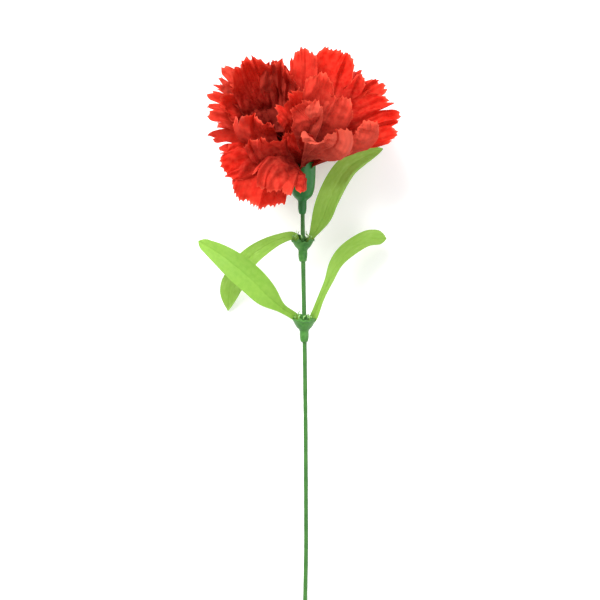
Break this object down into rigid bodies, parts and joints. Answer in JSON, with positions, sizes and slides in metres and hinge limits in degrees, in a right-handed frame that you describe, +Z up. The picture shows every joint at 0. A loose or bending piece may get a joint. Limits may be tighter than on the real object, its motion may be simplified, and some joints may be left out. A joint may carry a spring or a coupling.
{
  "type": "artificial carnation",
  "caption": "Red artificial carnation lying on a surface: ruffled fabric petals in a green calyx on a thin stem with narrow leaves.",
  "frame": {"origin": "centre of the object's footprint on the surface it lies on", "axes": "+Y along the stem from its cut end to the flower, +Z up from the surface, +X to the right of the flower seen from above"},
  "size_m": [0.0984, 0.2961, 0.0829],
  "materials": {
    "petal": "matte woven fabric",
    "leaf": "matte coated fabric",
    "calyx": "satin moulded plastic",
    "collar": "satin moulded plastic",
    "cover": "satin plastic cover",
    "wire": "plain drawn wire"
  },
  "bodies": {
    "root": {"petal_1_1": "petal", "petal_1_2": "petal", "petal_1_3": "petal", "petal_1_4": "petal", "petal_1_5": "petal", "petal_2_1": "petal", "petal_2_2": "petal", "petal_2_3": "petal", "petal_2_4": "petal", "petal_2_5": "petal", "petal_3_1": "petal", "petal_3_2": "petal", "petal_3_3": "petal", "petal_3_4": "petal", "petal_3_5": "petal", "petal_4_1": "petal", "petal_4_2": "petal", "petal_4_3": "petal", "petal_4_4": "petal", "petal_5_1": "petal", "petal_5_2": "petal", "petal_5_3": "petal", "petal_5_4": "petal", "petal_6_1": "petal", "petal_6_2": "petal", "petal_6_3": "petal", "calyx": "calyx", "collar_upper": "collar", "collar_lower": "collar", "leaf_upper_right": "leaf", "leaf_upper_left": "leaf", "leaf_lower_left": "leaf", "leaf_lower_right": "leaf", "stem_cover": "cover", "stem_wire": "wire"}
  },
  "joints": []
}
